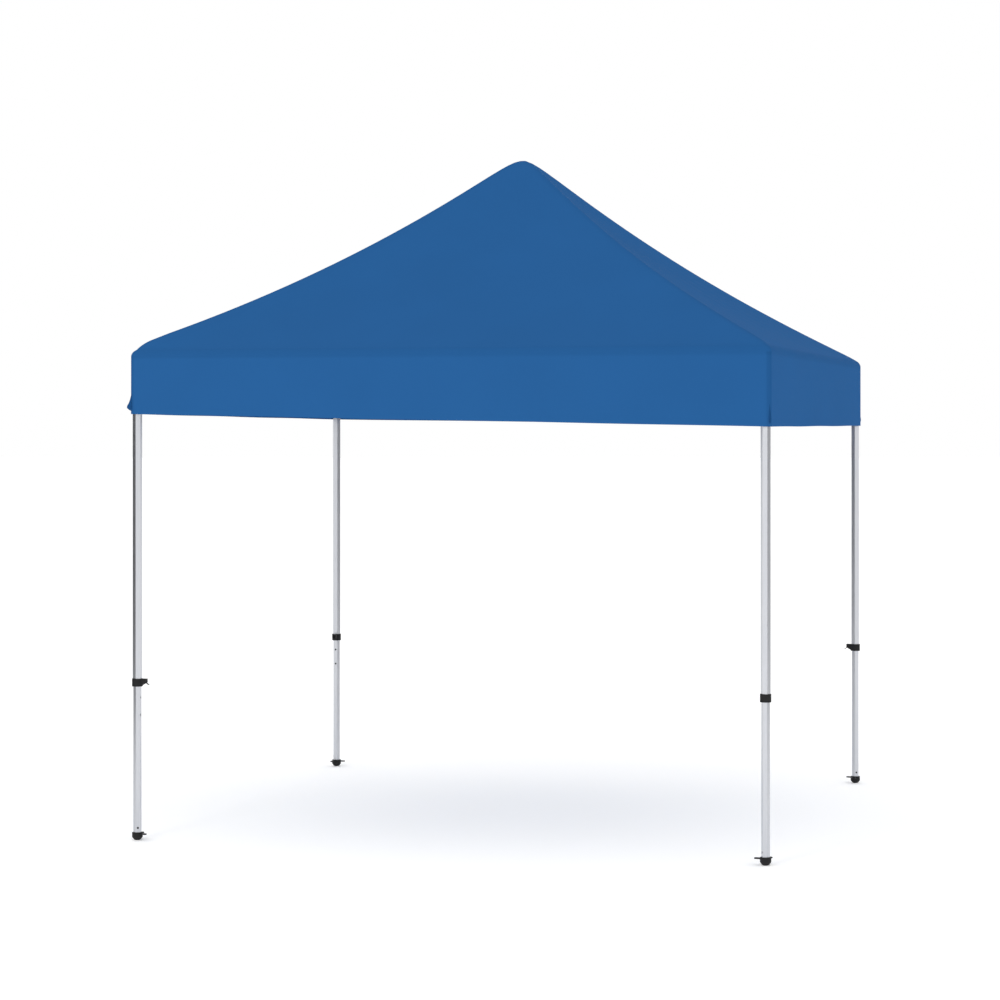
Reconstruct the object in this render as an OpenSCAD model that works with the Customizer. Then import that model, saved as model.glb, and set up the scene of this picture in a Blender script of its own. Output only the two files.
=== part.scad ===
// Pop up canopy: a hip-roof cover on a folding scissor frame with telescoping legs.
// Origin on the floor under the middle, +Z up, the front towards -Y. Millimetres.

/* [Overall] */
// Distance between the centre lines of two neighbouring legs
leg_pitch = 2944; // [2300:4:3500]
// Height of the eave, where the roof meets the valance
eave_z = 2265; // [2100:5:2450]
// Height of the roof from the eave to the peak
roof_rise = 990; // [700:5:1200]

/* [Cover] */
// Gap from a leg's centre line out to the face of the valance
cover_overhang = 28; // [27.5:0.5:45]
// Thickness of the cover's solid
cover_t = 1.5; // [1:0.5:3]
// Hanging height of the valance at the front left corner
drop_front_left = 288; // [280:1:500]
// Hanging height of the valance at the front right corner
drop_front_right = 348; // [280:1:500]
// Hanging height of the valance at the back right corner
drop_back_right = 338; // [280:1:500]
// Hanging height of the valance at the back left corner
drop_back_left = 300; // [280:1:500]
// Sag of the four ridges below a straight line
ridge_sag = 70; // [0:1:120]
// Extra sag in the middle of each roof panel
panel_sag = 38; // [0:1:100]
// Radius of the rounded peak
peak_r = 60; // [55:1:120]

/* [Legs] */
// Outer leg tube, across its flats
outer_leg_w = 38; // [37:0.5:42]
// Gap all round between the inner and the outer leg
leg_gap = 1; // [0.5:0.25:3]
// Wall of both leg tubes
leg_wall = 1.5; // [1:0.1:2]
// Height of the lower end of the outer leg
outer_leg_z = 727; // [700:1:850]
// Overlap of the inner leg inside the outer leg
leg_overlap = 340; // [150:10:600]
// Number of adjustment holes in the inner leg
hole_count = 5; // [2:1:8]
// Distance between adjustment holes
hole_pitch = 80; // [50:5:100]
// Diameter of the holes in the inner leg
hole_d = 10; // [6:0.5:12]
// Height of the cross hole above the foot
cross_hole_z = 57; // [50:1:90]

/* [Foot] */
// Diameter of the foot cap
foot_d = 50; // [48:1:70]
// Height of the foot cap
foot_h = 36; // [30:1:45]
// Diameter of the flat that rests on the floor
foot_flat_d = 20; // [10:1:40]
// Reach of a peg ear's hole from the leg's centre line
ear_reach = 40; // [36:1:60]
// Width of a peg ear
ear_w = 24; // [18:1:30]
// Thickness of a peg ear
ear_t = 5; // [3:0.5:8]
// Diameter of the peg hole in an ear
peg_hole_d = 9; // [6:0.5:12]

/* [Lock collar] */
// Thickness of the collar round the flats of the outer leg
collar_wall = 6; // [5:0.5:10]
// Height of the collar
collar_h = 36; // [30:1:60]
// Reach of the lever housing from the leg's centre line
housing_reach = 47; // [44:1:60]
// Width of the lever housing
housing_w = 22; // [18:1:30]
// Width of the lock lever
lever_w = 10; // [6:1:12]
// Length of the lock lever from its pin to its tip
lever_len = 24; // [20:1:40]

/* [Truss] */
// Width of a truss bar
bar_w = 26; // [20:1:28]
// Thickness of a truss bar
bar_t = 13; // [10:0.5:14]
// Wall of a truss bar
bar_wall = 1.5; // [1:0.1:3]
// Drop from the eave to the upper row of pivots
pivot_drop = 43; // [40:1:80]
// Height of the open truss, from the lower row of pivots to the upper
truss_h = 215; // [150:5:300]
// Distance of each pivot from its leg, bracket or hub centre
pivot_offset = 50; // [48:1:70]
// Diameter of the pivot pins
pin_d = 8; // [5:0.5:10]
// Thickness of the lugs on the brackets and hubs
lug_t = 5; // [3:0.5:8]
// Height of the brackets and hubs
bracket_h = 36; // [30:1:50]

/* [Mast] */
// Diameter of the peak pole
mast_d = 32; // [20:1:34]
// Wall of the peak pole
mast_wall = 1.5; // [1:0.1:3]
// Diameter of the cap on the peak pole, which goes down through the upper hub as the frame folds
cap_d = 40; // [36:1:44]

/* [Hidden] */
$fn = 48;
node = "all";
SIDES = ["front", "right", "back", "left"];
CORNERS = ["front_right", "back_right", "back_left", "front_left"];
HALVES = ["right", "left"];
NODES = concat(
    ["canopy", "hub_upper", "hub_lower", "mast"],
    [for (s = SIDES) each [
        str("hub_bar_upper_", s), str("hub_bar_lower_", s),
        str("mid_bracket_upper_", s), str("mid_bracket_lower_", s)]],
    [for (s = SIDES, h = HALVES) each [
        str("slider_bar_", s, "_", h), str("leg_bar_", s, "_", h)]],
    [for (c = CORNERS) each [
        str("outer_leg_", c), str("leg_fittings_", c), str("slider_", c),
        str("inner_leg_", c), str("foot_", c), str("lock_lever_", c)]]);

eps = 1;                 // overshoot of a cut past a face
fit = 0.05;              // radial running clearance of a pin in its hole
bar_gap = 1;             // gap between the two bars of a scissor pair
lug_gap = 0.5;           // gap between a bar and the lug beside it
half = leg_pitch / 2;
inner_leg_w = outer_leg_w - 2 * (leg_wall + leg_gap);
collar_d = outer_leg_w + 2 * collar_wall;
cover_half = half + cover_overhang;
peak_z = eave_z + roof_rise;
pivot_high_z = eave_z - pivot_drop;
pivot_low_z = pivot_high_z - truss_h;
span = half - 2 * pivot_offset;
bar_len = sqrt(span * span + truss_h * truss_h);
bar_angle = atan2(truss_h, span);
bar_shift = (bar_t + bar_gap) / 2;          // from the truss plane to a bar's centre plane
lug_in = bar_shift + bar_t / 2 + lug_gap;   // near face of a lug
lug_out = lug_in + lug_t;
lug_end = pivot_offset + bar_w / 2 + 1;
block_half = 20;
drops = [drop_front_left, drop_front_right, drop_back_right, drop_back_left];

// ---- cover ----
cover_cols = 10;         // columns of faces across each side
cover_rows = 12;         // rows of faces from the eave to the peak
peak_run = sqrt(cover_half * cover_half + peak_r * peak_r) - peak_r;

// how far up the roof a square ring lies, 0 at the eave and 1 at the peak
function up_roof(h) = 1 - (sqrt(h * h + peak_r * peak_r) - peak_r) / peak_run;
function ridge_dip(s) = ridge_sag * 3.1 * s * (1 - s) * (1 + 0.6 * s);
function panel_dip(s, v) = panel_sag * 4 * s * (1 - s) * (1 - v * v);
function roof_z(h, v) = let (s = up_roof(h))
    eave_z + roof_rise * s - ridge_dip(s) - panel_dip(s, v);

// a point on a square ring of half width h: side k, v from -1 to 1 along it
function ring_xy(h, k, v) =
    let (x = v * h, y = -h)
    [x * cos(90 * k) - y * sin(90 * k), x * sin(90 * k) + y * cos(90 * k)];
function hem_z(k, v) =
    eave_z - drops[k] * (1 - v) / 2 - drops[(k + 1) % 4] * (1 + v) / 2;
function ring(h, z_of, inset) = [for (k = [0:3], i = [0:cover_cols - 1])
    let (v = 2 * i / cover_cols - 1, p = ring_xy(h - inset, k, v))
    [p[0], p[1], z_of(k, v)]];

module canopy() {
    n = 4 * cover_cols;
    skin = function (inset, down) concat(
        ring(cover_half, function (k, v) hem_z(k, v), inset),
        [for (j = [0:cover_rows - 1]) each
            let (share = pow(1 - j / cover_rows, 1.5), h = cover_half * share)
            ring(h, function (k, v) roof_z(h, v) - down, inset * share)],
        [[0, 0, peak_z - down]]);
    rings = cover_rows + 1;
    last = rings * n;            // index of the peak point
    inner = last + 1;            // index of the first point of the inner skin
    outer_faces = concat(
        [for (j = [0:rings - 2], i = [0:n - 1])
            let (a = j * n + i, b = j * n + (i + 1) % n) each [[a, b + n, b], [a, a + n, b + n]]],
        [for (i = [0:n - 1]) [(rings - 1) * n + i, last, (rings - 1) * n + (i + 1) % n]]);
    inner_faces = [for (f = outer_faces) [f[0] + inner, f[2] + inner, f[1] + inner]];
    rim_faces = [for (i = [0:n - 1])
        let (a = i, b = (i + 1) % n) each [[a, b, inner + b], [a, inner + b, inner + a]]];
    color("#2A6099")
        polyhedron(concat(skin(0, 0), skin(cover_t, 1.4 * cover_t)),
            concat(outer_faces, inner_faces, rim_faces));
}

// ---- placing ----
// side k: origin at the middle of the side, +X along it, -Y outwards
module on_side(k) { rotate(90 * k) translate([0, -half, 0]) children(); }
// spoke k: origin at the middle, +X out to the middle of side k, +Y along that side
module on_spoke(k) { rotate(90 * k - 90) children(); }
// corner k: origin at the leg's centre line
module on_corner(k) { rotate(90 * k + 90) translate([-half, -half, 0]) children(); }

// ---- truss bars ----
module y_cylinder(r, y0, y1) {
    translate([0, y1, 0]) rotate([90, 0, 0]) cylinder(r = r, h = y1 - y0);
}
module bar_tube() {
    reach = bar_w / 2;
    difference() {
        translate([-reach, -bar_t / 2, -bar_w / 2]) cube([bar_len + 2 * reach, bar_t, bar_w]);
        translate([-reach - eps, bar_wall - bar_t / 2, bar_wall - bar_w / 2])
            cube([bar_len + 2 * (reach + eps), bar_t - 2 * bar_wall, bar_w - 2 * bar_wall]);
    }
}
module bar_holes(places) {
    for (x = places)
        translate([x, 0, 0]) y_cylinder(pin_d / 2 + fit, -bar_t, bar_t);
}
// toward is 1 when the crossing pin points to +Y, and -1 when it points to -Y
module pinned_bar(toward) {
    far = bar_t * 1.5 + bar_gap + eps;
    color("silver") {
        difference() {
            bar_tube();
            bar_holes([0, bar_len]);
        }
        translate([bar_len / 2, 0, 0])
            mirror([0, toward < 0 ? 1 : 0, 0]) y_cylinder(pin_d / 2, -bar_t / 2, far);
    }
}
module plain_bar() {
    color("silver") difference() {
        bar_tube();
        bar_holes([0, bar_len / 2, bar_len]);
    }
}
module slider_bar(k, left) {
    on_side(k) mirror([left, 0, 0])
        translate([pivot_offset, -bar_shift, pivot_high_z]) rotate([0, bar_angle, 0]) pinned_bar(1);
}
module leg_bar(k, left) {
    on_side(k) mirror([left, 0, 0])
        translate([pivot_offset, bar_shift, pivot_low_z]) rotate([0, -bar_angle, 0]) plain_bar();
}
module hub_bar_upper(k) {
    on_spoke(k) translate([pivot_offset, bar_shift, pivot_high_z])
        rotate([0, bar_angle, 0]) pinned_bar(-1);
}
module hub_bar_lower(k) {
    on_spoke(k) translate([pivot_offset, -bar_shift, pivot_low_z])
        rotate([0, -bar_angle, 0]) plain_bar();
}

// ---- brackets and hubs ----
// a lug along +X with its pin; side is 1 for a lug at +Y and -1 for a lug at -Y
module lug(side, from) {
    mirror([0, side < 0 ? 1 : 0, 0]) {
        translate([from, lug_in, -bar_w / 2]) cube([lug_end - from, lug_t, bar_w]);
        translate([pivot_offset, 0, 0]) y_cylinder(pin_d / 2, -bar_gap, lug_in + eps);
    }
}
module mid_bracket(k, z, side) {
    // side is -1 for the upper bracket, whose bars lie outside the truss plane
    on_side(k) translate([0, 0, z]) color("#1B1B1D") {
        translate([-block_half, -lug_out, -bracket_h / 2])
            cube([2 * block_half, 2 * lug_out, bracket_h]);
        lug(side, block_half - eps);
        mirror([1, 0, 0]) lug(side, block_half - eps);
        rotate(90) lug(side < 0 ? 1 : -1, lug_out - eps);
    }
}
hub_r = cap_d / 2 + 7;
module hub_lugs(z, side) {
    for (k = [0:3])
        on_spoke(k) translate([0, 0, z]) lug(side, hub_r / 2);
}
module hub_upper() {
    color("#1B1B1D") {
        difference() {
            union() {
                translate([0, 0, pivot_high_z - bracket_h / 2]) cylinder(r = hub_r, h = bracket_h);
                hub_lugs(pivot_high_z, 1);
            }
            translate([0, 0, pivot_high_z - bracket_h])
                cylinder(r = cap_d / 2 + 1, h = 2 * bracket_h);
        }
    }
}
mast_seat_z = pivot_low_z - bracket_h / 4;
module hub_lower() {
    color("#1B1B1D") difference() {
        union() {
            translate([0, 0, pivot_low_z - bracket_h / 2]) cylinder(r = hub_r, h = bracket_h);
            hub_lugs(pivot_low_z, -1);
        }
        translate([0, 0, mast_seat_z]) cylinder(r = mast_d / 2 + fit, h = bracket_h);
    }
}
cap_gap = 4;             // from the cap up to the cover
cap_rise = 24;           // height of the cap's dome
cap_base_z = peak_z - 1.4 * cover_t - cap_gap - cap_rise;
cap_plug = 14;
module mast() {
    cap_round = (cap_d * cap_d / 4 + cap_rise * cap_rise) / (2 * cap_rise);
    color("silver") translate([0, 0, mast_seat_z]) difference() {
        cylinder(d = mast_d, h = cap_base_z - mast_seat_z);
        translate([0, 0, -eps])
            cylinder(d = mast_d - 2 * mast_wall, h = cap_base_z - mast_seat_z + 2 * eps);
    }
    color("#1B1B1D") translate([0, 0, cap_base_z + fit]) {
        intersection() {
            translate([0, 0, cap_rise - cap_round]) sphere(r = cap_round);
            cylinder(d = cap_d, h = cap_rise + eps);
        }
        translate([0, 0, -cap_plug]) cylinder(d = mast_d - 2 * mast_wall - 2 * fit, h = cap_plug);
    }
}

// ---- legs ----
// six-sided prism with two flats facing +X and -X
module hex(w, h) { rotate(30) cylinder(d = w / cos(30), h = h, $fn = 6); }
module hex_tube(w, wall, h) {
    difference() {
        hex(w, h);
        translate([0, 0, -eps]) hex(w - 2 * wall, h + 2 * eps);
    }
}
bracket_top_z = eave_z - 10;
outer_leg_top_z = bracket_top_z - 6;
leg_base_z = 8;
slide_gap = 1;           // across-flats play of the sleeves on the leg tubes
module outer_leg(k) {
    color("silver") on_corner(k) translate([0, 0, outer_leg_z])
        hex_tube(outer_leg_w, leg_wall, outer_leg_top_z - outer_leg_z);
}
collar_z = outer_leg_z - 14;
lock_z = collar_z + 0.78 * collar_h;
module inner_leg(k) {
    color("silver") on_corner(k) difference() {
        translate([0, 0, leg_base_z])
            hex_tube(inner_leg_w, leg_wall, outer_leg_z + leg_overlap - leg_base_z);
        for (i = [0:hole_count - 1])
            translate([0, 0, lock_z + (i - 2) * hole_pitch])
                rotate([0, 90, 0]) cylinder(d = hole_d, h = inner_leg_w);
        translate([0, 0, cross_hole_z])
            rotate(-60) rotate([0, 90, 0]) cylinder(d = hole_d, h = 2 * inner_leg_w, center = true);
    }
}
sleeve_r = 25;
module top_bracket() {
    translate([0, 0, pivot_high_z]) difference() {
        union() {
            translate([0, 0, -bracket_h / 2])
                cylinder(r = sleeve_r, h = bracket_top_z - pivot_high_z + bracket_h / 2);
            lug(1, sleeve_r / 2);
            rotate(90) lug(-1, sleeve_r / 2);
        }
        translate([0, 0, -bracket_h / 2 - eps])
            hex(outer_leg_w + 2 * fit, outer_leg_top_z - pivot_high_z + bracket_h / 2 + eps);
    }
}
lever_pin_x = housing_reach - 9;
lever_pin_z = collar_z + 0.6 * collar_h;
lever_pin_r = 1.5;
module lock_collar() {
    slot_w = lever_w + 1;
    translate([0, 0, collar_z]) difference() {
        union() {
            cylinder(d = collar_d, h = collar_h);
            rotate([90, 0, 0]) translate([0, 0, -housing_w / 2]) linear_extrude(housing_w)
                polygon([[0, 0.15 * collar_h], [sleeve_r, 0.15 * collar_h],
                    [housing_reach, 0.5 * collar_h], [housing_reach, collar_h], [0, collar_h]]);
        }
        translate([0, 0, -eps]) hex(inner_leg_w + slide_gap, collar_h + 2 * eps);
        translate([0, 0, outer_leg_z - collar_z]) hex(outer_leg_w + 2 * fit, collar_h);
        translate([collar_d / 2 + 2, -slot_w / 2, -eps])
            cube([housing_reach, slot_w, 0.8 * collar_h + eps]);
    }
    translate([lever_pin_x, 0, lever_pin_z])
        y_cylinder(lever_pin_r, -housing_w / 2 + eps, housing_w / 2 - eps);
}
module leg_fittings(k) {
    color("#1B1B1D") on_corner(k) {
        top_bracket();
        lock_collar();
    }
}
module lock_lever(k) {
    boss_r = 4;
    lever_t = 3;
    tilt = 35;
    color("#1B1B1D") on_corner(k) translate([lever_pin_x, 0, lever_pin_z]) difference() {
        union() {
            y_cylinder(boss_r, -lever_w / 2, lever_w / 2);
            rotate([0, tilt, 0]) translate([boss_r / 2, 0.5 - lever_w / 2, -lever_t / 2])
                cube([lever_len - boss_r / 2, lever_w - 1, lever_t]);
        }
        y_cylinder(lever_pin_r + fit, -lever_w, lever_w);
    }
}
module slider(k) {
    color("#1B1B1D") on_corner(k) translate([0, 0, pivot_low_z]) difference() {
        union() {
            translate([0, 0, -bracket_h / 2]) cylinder(r = sleeve_r, h = bracket_h);
            lug(-1, sleeve_r / 2);
            rotate(90) lug(1, sleeve_r / 2);
        }
        translate([0, 0, -bracket_h]) hex(outer_leg_w + slide_gap, 2 * bracket_h);
    }
}

// ---- foot ----
ear_angles = [-18, 83];
ear_z = 29;
module foot(k) {
    r = foot_d / 2;
    color("#1B1B1D") on_corner(k) difference() {
        union() {
            rotate_extrude() polygon([[0, 0], [foot_flat_d / 2, 0], [0.68 * r, 3], [r, 0.39 * foot_h],
                [r, foot_h - 2], [r - 2, foot_h], [0, foot_h]]);
            for (a = ear_angles)
                rotate(a) translate([0, 0, ear_z - ear_t / 2]) linear_extrude(ear_t) {
                    translate([r / 2, -ear_w / 2]) square([ear_reach - r / 2, ear_w]);
                    translate([ear_reach, 0]) circle(d = ear_w);
                }
        }
        translate([0, 0, leg_base_z]) hex(inner_leg_w + 2 * fit, foot_h);
        for (a = ear_angles)
            rotate(a) translate([ear_reach, 0, 0]) cylinder(d = peg_hole_d, h = foot_h);
    }
}

// ---- assembly ----
function is_node(name) = node == "all" || node == name;
if (is_node("canopy")) canopy();
if (is_node("hub_upper")) hub_upper();
if (is_node("hub_lower")) hub_lower();
if (is_node("mast")) mast();
for (k = [0:3]) {
    side = SIDES[k];
    if (is_node(str("hub_bar_upper_", side))) hub_bar_upper(k);
    if (is_node(str("hub_bar_lower_", side))) hub_bar_lower(k);
    if (is_node(str("mid_bracket_upper_", side))) mid_bracket(k, pivot_high_z, -1);
    if (is_node(str("mid_bracket_lower_", side))) mid_bracket(k, pivot_low_z, 1);
    for (left = [0, 1]) {
        if (is_node(str("slider_bar_", side, "_", HALVES[left]))) slider_bar(k, left);
        if (is_node(str("leg_bar_", side, "_", HALVES[left]))) leg_bar(k, left);
    }
    corner = CORNERS[k];
    if (is_node(str("outer_leg_", corner))) outer_leg(k);
    if (is_node(str("leg_fittings_", corner))) leg_fittings(k);
    if (is_node(str("slider_", corner))) slider(k);
    if (is_node(str("inner_leg_", corner))) inner_leg(k);
    if (is_node(str("foot_", corner))) foot(k);
    if (is_node(str("lock_lever_", corner))) lock_lever(k);
}
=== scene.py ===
"""Pop up canopy: the sewn cover, the hardware, the finishes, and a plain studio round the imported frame.

All lengths are metres, in the frame's own axes: the floor at z = 0, the front towards -Y.
"""

import math

import bpy
from mathutils import Matrix, Vector


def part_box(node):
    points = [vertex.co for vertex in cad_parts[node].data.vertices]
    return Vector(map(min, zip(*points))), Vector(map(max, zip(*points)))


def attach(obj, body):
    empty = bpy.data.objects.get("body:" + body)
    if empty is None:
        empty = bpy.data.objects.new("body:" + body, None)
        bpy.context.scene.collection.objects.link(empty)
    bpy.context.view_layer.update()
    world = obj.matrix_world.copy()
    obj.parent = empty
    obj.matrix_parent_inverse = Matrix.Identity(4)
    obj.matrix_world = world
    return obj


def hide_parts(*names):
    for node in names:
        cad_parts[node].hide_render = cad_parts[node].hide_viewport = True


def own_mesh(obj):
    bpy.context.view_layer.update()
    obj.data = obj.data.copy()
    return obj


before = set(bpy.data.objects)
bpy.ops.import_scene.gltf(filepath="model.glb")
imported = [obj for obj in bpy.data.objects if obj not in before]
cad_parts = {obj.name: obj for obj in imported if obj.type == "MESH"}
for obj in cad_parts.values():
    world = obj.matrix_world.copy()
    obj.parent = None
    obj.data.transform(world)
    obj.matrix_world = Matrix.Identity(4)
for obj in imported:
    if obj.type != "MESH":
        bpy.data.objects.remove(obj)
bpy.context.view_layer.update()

MM = 0.001
SIDES = ("front", "right", "back", "left")
CORNERS = ("front_right", "back_right", "back_left", "front_left")
HALVES = ("right", "left")

# Sizes read from the frame
COVER_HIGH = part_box("canopy")[1]
W = COVER_HIGH.x                                  # half width of the cover
PEAK = COVER_HIGH.z
LEG_LOW, LEG_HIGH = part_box("outer_leg_front_right")
D = (LEG_LOW.x + LEG_HIGH.x) / 2                  # from the middle to a leg's centre line
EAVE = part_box("leg_fittings_front_right")[1].z + 10 * MM
RISE = PEAK - EAVE
PIVOT_HIGH = sum(v.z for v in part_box("hub_upper")) / 2
PIVOT_LOW = sum(v.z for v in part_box("hub_lower")) / 2

# The truss, as the joints of the frame have it
PIVOT_OFFSET = 50 * MM
BAR_SHIFT = 7 * MM
BAR_W, BAR_T = 26 * MM, 13 * MM
SPAN = D - 2 * PIVOT_OFFSET
TRUSS_H = PIVOT_HIGH - PIVOT_LOW
BAR_LEN = math.hypot(SPAN, TRUSS_H)
BAR_ANGLE = math.atan2(TRUSS_H, SPAN)

# The cover
FABRIC_T = 1.2 * MM
RIDGE_SAG = 70 * MM                               # sets how far a ridge hangs below a straight line
PANEL_SAG = 38 * MM                               # how far a panel's middle hangs below its ridges
PEAK_R = 54 * MM                                  # how softly the roof rounds over at the peak
TENSION_FOLD = 2.2 * MM                           # the most that a soft fold rises or dips
DROPS = (288 * MM, 348 * MM, 338 * MM, 300 * MM)  # valance height at each corner, from the front left
LIFTS = (27 * MM, 12 * MM, 5 * MM, 12 * MM)       # lift of the cloth over each leg's top bracket
TABS = (1.0, 0.5, 0.4, 0.6)                       # share of its reach that each corner's tab stands out
EDGE_R = 20 * MM                                  # roll of the fabric over the eave
CORNER_R = 24 * MM                                # roll of the fabric round a corner
# A roof panel folds up in gathers, narrower towards its corners, so that each fits over the folded legs.
GATHER_EDGES = (-1, -0.935, -0.84, -0.70, -0.50, -0.21, 0.21, 0.50, 0.70, 0.84, 0.935, 1)
PATCH = 130 * MM                                  # half width of the patch sewn under the peak
PEAK_RUN = math.hypot(W, PEAK_R) - PEAK_R

# Each pair is a height above the hem and how far a whole tab reaches out there, both in mm.
TAB_OUTLINE = ((14, 2), (19, 12), (28, 23), (38, 22), (50, 14), (66, 8), (84, 3), (98, 0.5))

# Hardware
BOLT_GRIP = 30 * MM                               # grip of the bolt that is copied and stretched
GRIP_OUT = 19 * MM                                # a bracket bolt's grip, on its lug's side of the middle
GRIP_BACK = 1 * MM                                # and past the middle on the other side
INSERT_D = 26 * MM                                # across the moulded inserts, inside the inner leg


# ---------------------------------------------------------------- helpers
def turned(k):
    """A quarter turn k times about the middle: side 0 is the front."""
    return Matrix.Rotation(math.radians(90 * k), 4, "Z")


def side_matrix(k):
    """Side k's own axes: origin at the middle of the side, +X along it, -Y outwards."""
    return turned(k) @ Matrix.Translation((0, -D, 0))


def spoke_matrix(k):
    """Spoke k's own axes: origin at the middle, +X out to the middle of side k."""
    return turned(k - 1)


def corner_matrix(k):
    """Corner k's own axes: origin on the leg's centre line."""
    return turned(k + 1) @ Matrix.Translation((-D, -D, 0))


def linear(hex_colour):
    """An sRGB hex colour as the linear RGBA that shader sockets take."""
    parts = [int(hex_colour[i : i + 2], 16) / 255 for i in (1, 3, 5)]
    low_end, slope, offset, gamma = 0.04045, 12.92, 0.055, 2.4
    return [c / slope if c <= low_end else ((c + offset) / (1 + offset)) ** gamma for c in parts] + [1]


def deselect():
    """Leaves edit mode and selects nothing."""
    if bpy.context.object and bpy.context.object.mode != "OBJECT":
        bpy.ops.object.mode_set(mode="OBJECT")
    bpy.ops.object.select_all(action="DESELECT")


def mesh_piece(name, verts, faces, material):
    """A new smooth-shaded object with this mesh."""
    mesh = bpy.data.meshes.new(name)
    mesh.from_pydata(verts, [], faces)
    mesh.materials.append(material)
    mesh.update()
    mesh.shade_smooth()
    obj = bpy.data.objects.new(name, mesh)
    bpy.context.scene.collection.objects.link(obj)
    return obj


# ---------------------------------------------------------------- materials
def add_node(tree, kind, settings=None, **links):
    """Adds a shader node; settings set attributes or sockets, links feed sockets from others."""
    node = tree.nodes.new(kind)
    for key, value in (settings or {}).items():
        if hasattr(node, key):
            setattr(node, key, value)
        else:
            node.inputs[key].default_value = value
    for key, source in links.items():
        tree.links.new(source, node.inputs[key.replace("_", " ")])
    return node


def new_material(name, colour, roughness, metallic=0.0, **sockets):
    """A material, its node tree and its shader; sockets set others of the shader's by name."""
    material = bpy.data.materials.new(name)
    material.use_nodes = True
    tree = material.node_tree
    shader = tree.nodes["Principled BSDF"]
    shader.inputs["Base Color"].default_value = linear(colour)
    shader.inputs["Roughness"].default_value = roughness
    shader.inputs["Metallic"].default_value = metallic
    for key, value in sockets.items():
        shader.inputs[key.replace("_", " ")].default_value = value
    return material, tree, shader


def tint(tree, shader, factor, dark, light):
    """Base colour from dark to light as factor goes from 0 to 1."""
    ramp = add_node(tree, "ShaderNodeMix", {"data_type": "RGBA"})
    tree.links.new(factor, ramp.inputs[0])
    ramp.inputs[6].default_value = linear(dark)
    ramp.inputs[7].default_value = linear(light)
    tree.links.new(ramp.outputs[2], shader.inputs["Base Color"])
    return ramp


def rough_between(tree, shader, factor, low, high):
    """Roughness from low to high as factor goes from 0 to 1."""
    spread = add_node(tree, "ShaderNodeMapRange", {"To Min": low, "To Max": high}, Value=factor)
    tree.links.new(spread.outputs["Result"], shader.inputs["Roughness"])


def bump(tree, shader, height, strength, distance):
    """Fine relief, too small to be made in the mesh."""
    settings = {"Strength": strength, "Distance": distance}
    node = add_node(tree, "ShaderNodeBump", settings, Height=height)
    tree.links.new(node.outputs["Normal"], shader.inputs["Normal"])


def woven_polyester():
    """Coated polyester cloth, dyed blue: dull, with almost no gloss and a faint crossed weave."""
    material, tree, shader = new_material("woven_polyester", "#25588F", 0.85, Specular_IOR_Level=0.01)
    uv = add_node(tree, "ShaderNodeUVMap", {"uv_map": "cloth"}).outputs["UV"]
    # Threads are 0.4 mm apart, too fine to show, so the weave is drawn as crossed waves that repeat
    # every 25 mm: the texture's own period is 0.314 m over its scale.
    weave_scale = 12.5
    waves = []
    for way in ("X", "Y"):
        settings = {"bands_direction": way, "Scale": weave_scale, "Distortion": 0.4}
        waves.append(add_node(tree, "ShaderNodeTexWave", settings, Vector=uv).outputs["Fac"])
    weave = add_node(tree, "ShaderNodeMath", {"operation": "MAXIMUM"})
    tree.links.new(waves[0], weave.inputs[0])
    tree.links.new(waves[1], weave.inputs[1])
    # Dye and tension vary over patches about a third of a metre across.
    where = add_node(tree, "ShaderNodeTexCoord").outputs["Object"]
    patch_settings = {"Scale": 2.6, "Detail": 3.0}
    patches = add_node(tree, "ShaderNodeTexNoise", patch_settings, Vector=where).outputs["Fac"]
    cloth = tint(tree, shader, patches, "#24568B", "#265A91")
    # Sewn bands hold two or three layers, so they are drawn darker.
    band = add_node(tree, "ShaderNodeAttribute", {"attribute_name": "sewn_band"}).outputs["Fac"]
    sewn = add_node(tree, "ShaderNodeMix", {"data_type": "RGBA"})
    tree.links.new(band, sewn.inputs[0])
    tree.links.new(cloth.outputs[2], sewn.inputs[6])
    sewn.inputs[7].default_value = linear("#1F4E80")
    tree.links.new(sewn.outputs[2], shader.inputs["Base Color"])
    rough_between(tree, shader, patches, 0.8, 0.9)
    bump(tree, shader, weave.outputs[0], 0.10, 0.3 * MM)
    return material


def anodised_aluminium(name, dark, light, along_scale):
    """Extruded tube, satin anodised: bright, with fine die lines along it and a soft reflection."""
    material, tree, shader = new_material(name, light, 0.34, metallic=1.0)
    where = add_node(tree, "ShaderNodeTexCoord").outputs["Object"]
    # Die lines 1.5 mm apart, stretched along the tube.
    stretched = add_node(tree, "ShaderNodeMapping", {"Scale": along_scale}, Vector=where).outputs["Vector"]
    lines = add_node(tree, "ShaderNodeTexNoise", {"Scale": 1 / (1.5 * MM), "Detail": 2.0},
                     Vector=stretched).outputs["Fac"]
    tint(tree, shader, lines, dark, light)
    rough_between(tree, shader, lines, 0.28, 0.42)
    bump(tree, shader, lines, 0.12, 0.1 * MM)
    return material


def moulded_nylon():
    """Glass-filled nylon, injection moulded: near black, half matt, with a fine sparked grain."""
    material, tree, shader = new_material("moulded_nylon", "#121213", 0.5, Specular_IOR_Level=0.25)
    where = add_node(tree, "ShaderNodeTexCoord").outputs["Object"]
    grain = add_node(tree, "ShaderNodeTexNoise", {"Scale": 1 / (0.9 * MM), "Detail": 2.0},
                     Vector=where).outputs["Fac"]
    tint(tree, shader, grain, "#0C0C0D", "#19191B")
    rough_between(tree, shader, grain, 0.42, 0.6)
    bump(tree, shader, grain, 0.25, 0.15 * MM)
    return material


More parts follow.
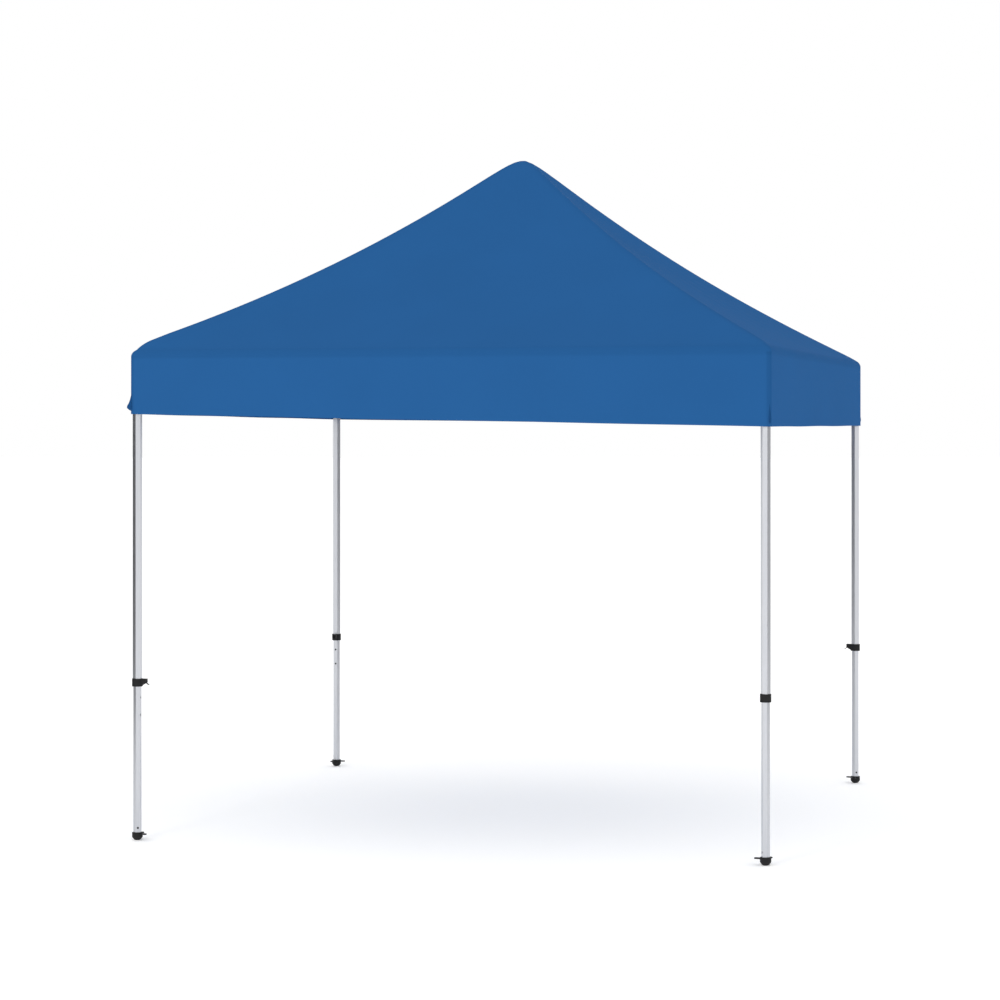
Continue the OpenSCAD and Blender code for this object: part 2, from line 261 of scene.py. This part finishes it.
def zinc_plated_steel():
    """Cold-headed steel, bright zinc plated: pale grey with a slight mottle."""
    material, tree, shader = new_material("zinc_plated_steel", "#B9BBBE", 0.3, metallic=1.0)
    where = add_node(tree, "ShaderNodeTexCoord").outputs["Object"]
    mottle = add_node(tree, "ShaderNodeTexNoise", {"Scale": 1 / (3 * MM), "Detail": 3.0},
                      Vector=where).outputs["Fac"]
    tint(tree, shader, mottle, "#9B9DA0", "#C9CBCE")
    rough_between(tree, shader, mottle, 0.25, 0.4)
    return material


def painted_floor():
    """Matt white paint on the studio floor, faintly lit so that it meets the white background."""
    material, tree, shader = new_material("painted_floor", "#FFFFFF", 0.9, Emission_Strength=0.16)
    shader.inputs["Emission Color"].default_value = linear("#FFFFFF")
    where = add_node(tree, "ShaderNodeTexCoord").outputs["Object"]
    scuffs = add_node(tree, "ShaderNodeTexNoise", {"Scale": 3.0}, Vector=where).outputs["Fac"]
    rough_between(tree, shader, scuffs, 0.85, 0.95)
    return material


CLOTH = woven_polyester()
LEG_METAL = anodised_aluminium("satin_anodised_leg", "#BDBFC4", "#D2D4D9", (1.0, 1.0, 0.01))
TRUSS_METAL = anodised_aluminium("satin_anodised_truss", "#B8BABF", "#CCCED3", (0.2, 0.2, 1.0))
NYLON = moulded_nylon()
STEEL = zinc_plated_steel()


def finish_cad_nodes():
    """Gives every node of the frame its material; the cover's plain solid is replaced further down."""
    for name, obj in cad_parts.items():
        if name.startswith(("outer_leg", "inner_leg")) or name == "mast":
            material = LEG_METAL
        elif "_bar_" in name:
            material = TRUSS_METAL
        else:
            material = NYLON
        obj.data.materials.clear()
        obj.data.materials.append(material)


# ---------------------------------------------------------------- the cover's shape
def up_roof(h):
    """How far up the roof a square ring of half width h lies: 0 at the eave, 1 at the peak."""
    return 1 - (math.hypot(h, PEAK_R) - PEAK_R) / PEAK_RUN


def roof_height(h, v):
    """Height of the roof on the ring of half width h, at v from -1 to 1 along its side."""
    s = up_roof(h)
    ridge = RIDGE_SAG * 3.1 * s * (1 - s) * (1 + 0.6 * s)     # deepest a little above half way up
    panel = PANEL_SAG * 4 * s * (1 - s) * (1 - v * v)
    return EAVE + RISE * s - ridge - panel


def shoulder(k, h, v):
    """How far the bracket on top of a leg lifts the cloth over it, only at the ridge's lower end."""
    lift = LIFTS[k] if v < 0 else LIFTS[(k + 1) % 4]
    rises_over, fades_over, half_breadth = 0.03, 0.30, 0.11
    inwards = max(0.0, W - EDGE_R - h)
    beside = (1 - abs(v)) * h
    along_ridge = (1 - math.exp(-inwards / rises_over)) * math.exp(-inwards / fades_over)
    return lift * along_ridge * math.exp(-((beside / half_breadth) ** 2))


def pull_folds(h, v):
    """Soft tension folds across each panel, which fade at the eave, the peak and the ridges."""
    s = up_roof(h)
    edge = s * (1 - s) * 4
    fan = math.sin(9 * math.pi * abs(v) + 5 * s) * (1 - v * v)
    return TENSION_FOLD * edge * fan


def rounded(h, v, r):
    """A point of the front side's ring, with its corners rolled to radius r."""
    x, y = v * h, -h
    if abs(x) > h - r:
        centre = Vector((math.copysign(h - r, x), -(h - r)))
        point = centre + (Vector((x, y)) - centre).normalized() * r
        return point.x, point.y
    return x, y


def ripple(k, v, down):
    """How far the valance stands out: gentle waves that grow towards the hem and die at the legs."""
    free = 1 - abs(v) ** 6
    waves = math.sin(3.1 * math.pi * v + 1.7 * k) * 0.6 + math.sin(1.3 * math.pi * v + k) * 0.4
    return 2.4 * MM * free * (1 + waves) * down


def hem_height(k, v):
    """Height of the hem along side k, straight from corner to corner with a slight wave."""
    here, there = DROPS[k], DROPS[(k + 1) % 4]
    lift = 0.7 * MM * math.sin(2.6 * math.pi * v + 2 * k) * (1 - abs(v) ** 4)
    return EAVE - here * (1 - v) / 2 - there * (1 + v) / 2 + lift


def columns():
    """Places along a side, from -1 to 1, closer together where the cover rolls round a corner."""
    places = []
    for low, high in zip(GATHER_EDGES, GATHER_EDGES[1:]):
        steps = max(2, round((high - low) / 0.045))
        places += [round(low + (high - low) * i / steps, 6) for i in range(steps + 1)]
    roll = CORNER_R / W
    near = [1 - roll * share for share in (0.2, 0.4, 0.65, 1.0, 1.6)]
    return sorted(set(places + near + [-v for v in near]))


def roof_rows():
    """Ring half widths from the eave to the peak: close at the rolled eave and round the peak."""
    rolled = [W - EDGE_R * (1 - math.cos(math.radians(a))) for a in (0, 18, 36, 54, 72, 90)]
    near = [W - EDGE_R - d * MM for d in (7, 15, 24, 35, 48)]
    slope = [W * (1 - i / 30) ** 1.35 for i in range(2, 30)]
    return rolled + near + slope


COLS = columns()


def roof_point(k, v, h):
    """A point of roof panel k, on the ring of half width h, at v from -1 to 1 along its side."""
    r = CORNER_R * max(0.35, h / W)
    x, y = rounded(h, v, min(r, 0.9 * h))
    z = roof_height(h, v) + pull_folds(h, v) + shoulder(k, h, v)
    past = h - (W - EDGE_R)
    if past > 0:                                   # the roll over the eave
        z -= EDGE_R - math.sqrt(max(EDGE_R**2 - past**2, 0))
    return turned(k) @ Vector((x, y, z))


def valance_point(k, v, down):
    """A point of the valance, down from 0 at the eave to 1 at the hem."""
    top = roof_point(k, v, W)
    out = W + ripple(k, v, down) if down > 0 else W
    x, y = rounded(out, v, CORNER_R)
    x = math.copysign(min(abs(x), W), x)
    level = top.z + (hem_height(k, v) - top.z) * down
    return turned(k) @ Vector((x, y, level))


def grid_normals(grid):
    """Unit normals of a grid of points, outwards when its columns run right and its rows up."""
    rows, cols = len(grid), len(grid[0])
    normals = []
    for j in range(rows):
        line = []
        for i in range(cols):
            across = grid[j][min(i + 1, cols - 1)] - grid[j][max(i - 1, 0)]
            upward = grid[min(j + 1, rows - 1)][i] - grid[max(j - 1, 0)][i]
            line.append(across.cross(upward).normalized())
        normals.append(line)
    return normals


def cloth_piece(name, grid, normals, uvs, bands):
    """A thin closed sheet from a grid: the outer skin, the inner skin and the cut edge between them."""
    rows, cols = len(grid), len(grid[0])
    count = rows * cols
    outer = [p for line in grid for p in line]
    out_normals = [n for line in normals for n in line]
    inner = [p - n * FABRIC_T for p, n in zip(outer, out_normals)]
    faces = []
    for j in range(rows - 1):
        for i in range(cols - 1):
            a = j * cols + i
            quad = (a, a + 1, a + cols + 1, a + cols)
            faces.append(quad)
            faces.append(tuple(q + count for q in reversed(quad)))
    rim = [j * cols for j in reversed(range(rows))] + list(range(1, cols))
    rim += [j * cols + cols - 1 for j in range(1, rows)]
    rim += [(rows - 1) * cols + i for i in range(cols - 2, 0, -1)]
    for a, b in zip(rim, rim[1:] + rim[:1]):
        faces.append((b, a, a + count, b + count))
    obj = mesh_piece(name, [*map(tuple, outer), *map(tuple, inner)], faces, CLOTH)
    mesh = obj.data
    layer = mesh.uv_layers.new(name="cloth")
    flat_uv = [uv for line in uvs for uv in line]
    flat_band = [b for line in bands for b in line]
    for loop in mesh.loops:
        layer.data[loop.index].uv = flat_uv[loop.vertex_index % count]
    attribute = mesh.attributes.new("sewn_band", "FLOAT", "POINT")
    attribute.data.foreach_set("value", flat_band * 2)
    all_normals = [*out_normals, *[-n for n in out_normals]]
    mesh.normals_split_custom_set_from_vertices([tuple(n) for n in all_normals])
    return obj


def longest(lines):
    """Length of the longest of these lines of points."""
    return max(sum((b - a).length for a, b in zip(line, line[1:])) for line in lines)


def declare_sheet(grid):
    """Measures the flat size of a cloth piece along its rows and columns."""
    width, length = longest(grid), longest(zip(*grid))


def gather_squash(obj):
    """The gather goes down with the peak pole, on the lower hub.
    """
    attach(obj, "hub_lower")
    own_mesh(obj)


def build_roof():
    """The four roof panels, as a list of gathers that lie as one curved sheet."""
    rows = roof_rows()
    peak, up = Vector((0, 0, PEAK)), Vector((0, 0, 1))
    gathers = []
    for k, side in enumerate(SIDES):
        grid = [[roof_point(k, v, h) for v in COLS] for h in rows]
        normals = grid_normals(grid)
        share_corner_normals(k, normals)
        for g, (low, high) in enumerate(zip(GATHER_EDGES, GATHER_EDGES[1:])):
            picked = [i for i, v in enumerate(COLS) if low - 1e-6 <= v <= high + 1e-6]
            part = [[line[i] for i in picked] for line in grid] + [[peak] * len(picked)]
            part_normals = [[line[i] for i in picked] for line in normals] + [[up] * len(picked)]
            uvs = [[(COLS[i] * h, -h * 1.2) for i in picked] for h in [*rows, 0.0]]
            bands = [[band_strength(h, COLS[i]) for i in picked] for h in [*rows, 0.0]]
            obj = cloth_piece(f"roof_{side}_gather_{g + 1}", part, part_normals, uvs, bands)
            close_peak(obj)
            declare_sheet(part)
            gather_squash(obj)
            gathers.append(obj)
    return gathers


def build_peak_patch():
    """The square of cloth sewn under the peak, which takes the wear of the pole's cap.

    On the folded frame it lies over the upper hub.
    """
    count = 8
    below_roof = 2.6 * MM
    steps = [-1 + 2 * i / count for i in range(count + 1)]
    grid = []
    for b in steps:
        line = []
        for a in steps:
            h = max(abs(a), abs(b)) * PATCH
            across = min(abs(a), abs(b)) / max(abs(a), abs(b), 1e-9)
            line.append(Vector((a * PATCH, b * PATCH, roof_height(h, across) - below_roof)))
        grid.append(line)
    normals = grid_normals(grid)
    uvs = [[(a * PATCH, b * PATCH) for a in steps] for b in steps]
    obj = cloth_piece("peak_patch", grid, normals, uvs, [[0.3] * len(steps)] * len(steps))
    declare_sheet(grid)
    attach(obj, "hub_lower")
    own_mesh(obj)


def close_peak(obj):
    """Merges a gather's points that meet at the peak."""
    deselect()
    obj.select_set(True)
    bpy.context.view_layer.objects.active = obj
    bpy.ops.object.mode_set(mode="EDIT")
    bpy.ops.mesh.select_all(action="SELECT")
    bpy.ops.mesh.remove_doubles(threshold=0.05 * MM)
    bpy.ops.object.mode_set(mode="OBJECT")
    obj.select_set(False)


def share_corner_normals(k, normals):
    """Where two sides meet they share one normal, so no edge shows between them."""
    for line in normals:
        for i, sign in ((0, -1), (len(COLS) - 1, 1)):
            corner = turned(k) @ Vector((sign, -1, 0)).normalized()
            level = Vector((line[i].x, line[i].y, 0)).length or 1.0
            line[i] = (corner * level + Vector((0, 0, line[i].z))).normalized()


def band_strength(h, v):
    """How dark the sewn bands are: most on the eave and the ridges, fading to 0 beside them."""
    darkest, eave_w, ridge_w = 0.35, 40 * MM, 35 * MM
    eave_band = max(0.0, 1 - (W - h) / eave_w)
    ridge_band = max(0.0, 1 - (1 - abs(v)) * h / ridge_w)
    return darkest * max(eave_band, ridge_band)


def build_valances():
    """The four hanging walls. Each moves in with its side's bracket."""
    # Rows from the hem up to the eave, each as a share of the drop
    downs = (1.0, 0.97, 0.925, 0.92, 0.82, 0.7, 0.55, 0.4, 0.25, 0.12, 0.06, 0.02, 0.0)
    for k, side in enumerate(SIDES):
        grid = [[valance_point(k, v, down) for v in COLS] for down in downs]
        normals = grid_normals(grid)
        share_corner_normals(k, normals)
        uvs = [[(v * W, -down * DROPS[k]) for v in COLS] for down in downs]
        # Darker on the seam at the eave and on the seams at both corners
        bands = [[0.35 * (down < 0.05) + 0.5 * (abs(v) > 0.985) for v in COLS] for down in downs]
        obj = cloth_piece(f"valance_{side}", grid, normals, uvs, bands)
        declare_sheet(grid)
        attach(obj, f"mid_bracket_upper_{side}")
        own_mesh(obj)


def build_corner_tabs():
    """A flat tab of webbing sewn into each corner of the valance near its hem, standing out from it."""
    shares = (0, 0.35, 0.7, 1)
    sewn_in = 3                                   # mm of the tab that lie inside the corner
    corner_out = -(W - 0.3 * CORNER_R)
    out = Vector((-1, -1, 0)).normalized()
    for k, corner in enumerate(CORNERS):
        place = turned(k + 1) @ Matrix.Translation((corner_out, corner_out, 0))
        hem = EAVE - DROPS[(k + 1) % 4]
        stands_out = TABS[(k + 1) % 4]
        grid, uvs = [], []
        for up, reach in TAB_OUTLINE:
            rise = Vector((0, 0, hem + up * MM))
            grid.append([place @ (out * (share * reach * stands_out - (1 - share) * sewn_in) * MM + rise)
                         for share in shares])
            uvs.append([(share * reach * MM, up * MM) for share in shares])
        bands = [[1.0] * len(shares)] * len(TAB_OUTLINE)
        obj = cloth_piece(f"corner_tab_{corner}", grid, grid_normals(grid), uvs, bands)
        declare_sheet(grid)
        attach(obj, f"outer_leg_{corner}")


# ---------------------------------------------------------------- hardware
def round_edges(obj, width):
    """Rounds every edge of a piece that is sharp enough to bevel."""
    modifier = obj.modifiers.new("edge", "BEVEL")
    modifier.width = width
    modifier.segments = 2
    bpy.ops.object.modifier_apply(modifier="edge")


def take_mesh(obj):
    """Keeps a copy of an object's mesh, to be copied to its places, and removes the object."""
    mesh = obj.data.copy()
    bpy.data.objects.remove(obj)
    return mesh


def bolt_model():
    """A hex bolt's head, its nut and two washers, lying along Y, with BOLT_GRIP between them."""
    deselect()
    hex_part = (6, 7.4 * MM, 5 * MM, 3.6 * MM, 0.7 * MM)
    washer = (24, 9 * MM, 1 * MM, 0.6 * MM, 0.25 * MM)
    made = []
    for sides, radius, depth, past_grip, edge in (hex_part, washer):
        for end in (-1, 1):
            place = (0, end * (BOLT_GRIP / 2 + past_grip), 0)
            bpy.ops.mesh.primitive_cylinder_add(vertices=sides, radius=radius, depth=depth,
                                                location=place, rotation=(math.radians(90), 0, 0))
            obj = bpy.context.object
            bpy.ops.object.transform_apply(location=True, rotation=True, scale=True)
            round_edges(obj, edge)
            made.append(obj)
    bpy.ops.object.select_all(action="DESELECT")
    for obj in made:
        obj.select_set(True)
    bpy.context.view_layer.objects.active = made[0]
    bpy.ops.object.join()
    return take_mesh(made[0])


def plug_model():
    """The moulded plug in the open end of a truss bar: a flange facing +X, and its stem in the bar."""
    deselect()
    bpy.ops.mesh.primitive_cube_add(size=1, location=(0, 0, 0))
    obj = bpy.context.object
    obj.dimensions = (3 * MM, BAR_T, BAR_W)
    bpy.ops.object.transform_apply(location=True, rotation=True, scale=True)
    bpy.ops.object.mode_set(mode="EDIT")
    bpy.ops.mesh.select_mode(type="FACE")
    bpy.ops.mesh.select_all(action="DESELECT")
    bpy.ops.object.mode_set(mode="OBJECT")
    for face in obj.data.polygons:
        face.select = face.normal.x < -0.9
    bpy.ops.object.mode_set(mode="EDIT")
    bpy.ops.mesh.inset(thickness=1.7 * MM)
    bpy.ops.mesh.extrude_region_move(TRANSFORM_OT_translate={"value": (-10 * MM, 0, 0)})
    bpy.ops.object.mode_set(mode="OBJECT")
    round_edges(obj, 0.8 * MM)
    return take_mesh(obj)


def copies(name, model, places, material, body):
    """One piece made of a copy of the model at each place, riding on a body."""
    verts, faces = [], []
    for place in places:
        start = len(verts)
        verts += [tuple(place @ v.co) for v in model.vertices]
        faces += [tuple(start + i for i in p.vertices) for p in model.polygons]
    obj = mesh_piece(name, verts, faces, material)
    deselect()
    obj.select_set(True)
    bpy.context.view_layer.objects.active = obj
    bpy.ops.object.shade_smooth_by_angle(angle=math.radians(35))
    obj.select_set(False)
    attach(obj, body)
    return obj


def at(x, y, z):
    """A shift by this much."""
    return Matrix.Translation((x, y, z))


def bolt_grip(length):
    """Stretches the bolt model along its axis to another grip."""
    return Matrix.Diagonal((1, length / BOLT_GRIP, 1, 1))


def build_bolts():
    """The bolts at every pivot and crossing of the truss, each on the body that carries it."""
    model = bolt_model()
    grip_mid = (GRIP_OUT - GRIP_BACK) / 2
    short = bolt_grip(GRIP_OUT + GRIP_BACK)
    cross = at(PIVOT_OFFSET + SPAN / 2, 0, (PIVOT_HIGH + PIVOT_LOW) / 2)
    quarter = Matrix.Rotation(math.radians(90), 4, "Z")
    mirror_x = Matrix.Diagonal((-1, 1, 1, 1))

    def bolts(name, places, body):
        copies(name, model, places, STEEL, body)

    for k, side in enumerate(SIDES):
        on_side, on_spoke = side_matrix(k), spoke_matrix(k)
        for level, z, sign in (("upper", PIVOT_HIGH, -1), ("lower", PIVOT_LOW, 1)):
            ends = [on_side @ at(x * PIVOT_OFFSET, sign * grip_mid, z) @ short for x in (1, -1)]
            inner = at(0, PIVOT_OFFSET, z) @ at(sign * grip_mid, 0, 0) @ quarter @ short
            ends.append(on_side @ inner)
            bolts(f"bolts_mid_{level}_{side}", ends, f"mid_bracket_{level}_{side}")
        bolts(f"bolt_hub_cross_{side}", [on_spoke @ cross], f"hub_bar_upper_{side}")
        for half in HALVES:
            flip = Matrix.Identity(4) if half == "right" else mirror_x
            place = Matrix.Translation((on_side @ flip @ cross).translation) @ turned(k)
            bolts(f"bolt_side_cross_{side}_{half}", [place], f"slider_bar_{side}_{half}")
    hubs = (("upper", PIVOT_HIGH, 1, "cover_and_hub"), ("lower", PIVOT_LOW, -1, "hub_lower"))
    for level, z, sign, body in hubs:
        places = [spoke_matrix(k) @ at(PIVOT_OFFSET, sign * grip_mid, z) @ short for k in range(4)]
        bolts(f"bolts_hub_{level}", places, body)
    for k, corner in enumerate(CORNERS):
        base = corner_matrix(k)
        brackets = (("top", PIVOT_HIGH, 1, f"outer_leg_{corner}"),
                    ("slider", PIVOT_LOW, -1, f"slider_{corner}"))
        for part, z, sign, body in brackets:
            one = at(PIVOT_OFFSET, sign * grip_mid, z) @ short
            two = at(-sign * grip_mid, PIVOT_OFFSET, z) @ quarter @ short
            bolts(f"bolts_{part}_{corner}", [base @ one, base @ two], body)


def build_plugs():
    """The plugs in both ends of every truss bar."""
    model = plug_model()
    out = BAR_W / 2 + 1.5 * MM
    half_turn = Matrix.Rotation(math.radians(180), 4, "Z")

    def plug_ends(bar_name, bar):
        ends = [bar @ at(BAR_LEN + out, 0, 0), bar @ at(-out, 0, 0) @ half_turn]
        copies(f"plugs_{bar_name}", model, ends, NYLON, bar_name)

    def bar_at(x, y, z, angle):
        return at(x, y, z) @ Matrix.Rotation(angle, 4, "Y")

    for k, side in enumerate(SIDES):
        high = bar_at(PIVOT_OFFSET, BAR_SHIFT, PIVOT_HIGH, BAR_ANGLE)
        low = bar_at(PIVOT_OFFSET, -BAR_SHIFT, PIVOT_LOW, -BAR_ANGLE)
        for level, bar in (("upper", high), ("lower", low)):
            plug_ends(f"hub_bar_{level}_{side}", spoke_matrix(k) @ bar)
        for half, turn, swap in (("right", 0, 1), ("left", 180, -1)):
            spun = side_matrix(k) @ Matrix.Rotation(math.radians(turn), 4, "Z")
            down = bar_at(PIVOT_OFFSET, -swap * BAR_SHIFT, PIVOT_HIGH, BAR_ANGLE)
            rise = bar_at(PIVOT_OFFSET, swap * BAR_SHIFT, PIVOT_LOW, -BAR_ANGLE)
            plug_ends(f"slider_bar_{side}_{half}", spun @ down)
            plug_ends(f"leg_bar_{side}_{half}", spun @ rise)


def rod_model():
    """A rod along +Z, 1 m long and 1 m across, with its lower end at the origin."""
    deselect()
    bpy.ops.mesh.primitive_cylinder_add(vertices=24, radius=0.5, depth=1, location=(0, 0, 0.5))
    obj = bpy.context.object
    bpy.ops.object.transform_apply(location=True, rotation=True, scale=True)
    return take_mesh(obj)


def build_leg_inserts():
    """The moulded inserts inside each inner leg: the foot's plug, and the block behind the lock holes."""
    model = rod_model()
    for k, corner in enumerate(CORNERS):
        foot_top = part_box(f"foot_{corner}")[1].z
        block_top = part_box(f"lock_lever_{corner}")[1].z + 170 * MM
        spans = ((foot_top + 2 * MM, foot_top + 40 * MM), (block_top - 380 * MM, block_top))
        places = [corner_matrix(k) @ at(0, 0, low) @ Matrix.Diagonal((INSERT_D, INSERT_D, high - low, 1))
                  for low, high in spans]
        copies(f"leg_inserts_{corner}", model, places, NYLON, f"inner_leg_{corner}")


# ---------------------------------------------------------------- studio
def build_floor():
    deselect()
    bpy.ops.mesh.primitive_plane_add(size=400, location=(0, 0, -0.5 * MM))
    floor = bpy.context.object
    floor.name = "floor"
    floor.data.materials.append(painted_floor())


def build_sky():
    world = bpy.data.worlds.new("studio")
    bpy.context.scene.world = world
    world.use_nodes = True
    sky = world.node_tree.nodes["Background"]
    sky.inputs["Color"].default_value = linear("#FFFFFF")
    sky.inputs["Strength"].default_value = 1.0


def build_cards():
    """Dark cards at both sides, seen only in reflections, put the darker edges on the tubes."""
    card = new_material("dark_card", "#3C3C3C", 0.9)[0]
    middle, tall = 2.6, 5.0
    for name, x, y, width in (("card_right", 6.0, 2.0, 4.0), ("card_left", -5.0, -1.0, 5.0)):
        upright = (0, math.radians(90), 0)
        bpy.ops.mesh.primitive_plane_add(size=1, location=(x, y, middle), rotation=upright)
        flag = bpy.context.object
        flag.name = name
        flag.dimensions = (tall, width, 0)
        flag.visible_camera = flag.visible_diffuse = flag.visible_shadow = False
        flag.data.materials.append(card)


def build_lamps():
    """A key light in front and a weaker fill at the right, both aimed at the middle of the object."""
    aim = Vector((0, 0, 1.6))
    for name, place, size, power in (
        ("key", (-3.0, -14.0, 9.0), 2.5, 330),
        ("fill", (12.0, -3.0, 6.0), 4.0, 45),
    ):
        lamp = bpy.data.lights.new(name, "AREA")
        lamp.size = size
        lamp.energy = power
        obj = bpy.data.objects.new(name, lamp)
        bpy.context.scene.collection.objects.link(obj)
        obj.location = place
        obj.rotation_euler = (aim - Vector(place)).to_track_quat("-Z", "Y").to_euler()


def build_camera():
    """A long lens at eye height, level, a little to the right of the front."""
    azimuth = math.radians(14.9)
    distance, height, aside = 13.90, 1.895, -0.117
    focal_mm, lens_shift = 99.65, -0.0683
    towards = Vector((-math.sin(azimuth), math.cos(azimuth), 0))
    right = Vector((math.cos(azimuth), math.sin(azimuth), 0))
    camera = bpy.data.objects.new("camera", bpy.data.cameras.new("camera"))
    bpy.context.scene.collection.objects.link(camera)
    camera.location = -towards * distance + right * aside + Vector((0, 0, height))
    camera.rotation_euler = towards.to_track_quat("-Z", "Y").to_euler()
    camera.data.lens = focal_mm
    camera.data.shift_y = lens_shift
    camera.data.clip_end = 200
    bpy.context.scene.camera = camera


build_camera()
finish_cad_nodes()
gathers = build_roof()
build_peak_patch()
build_valances()
build_corner_tabs()
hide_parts("canopy")
build_bolts()
build_plugs()
build_leg_inserts()
build_floor()
build_sky()
build_cards()
build_lamps()
bpy.context.scene.view_settings.view_transform = "Standard"
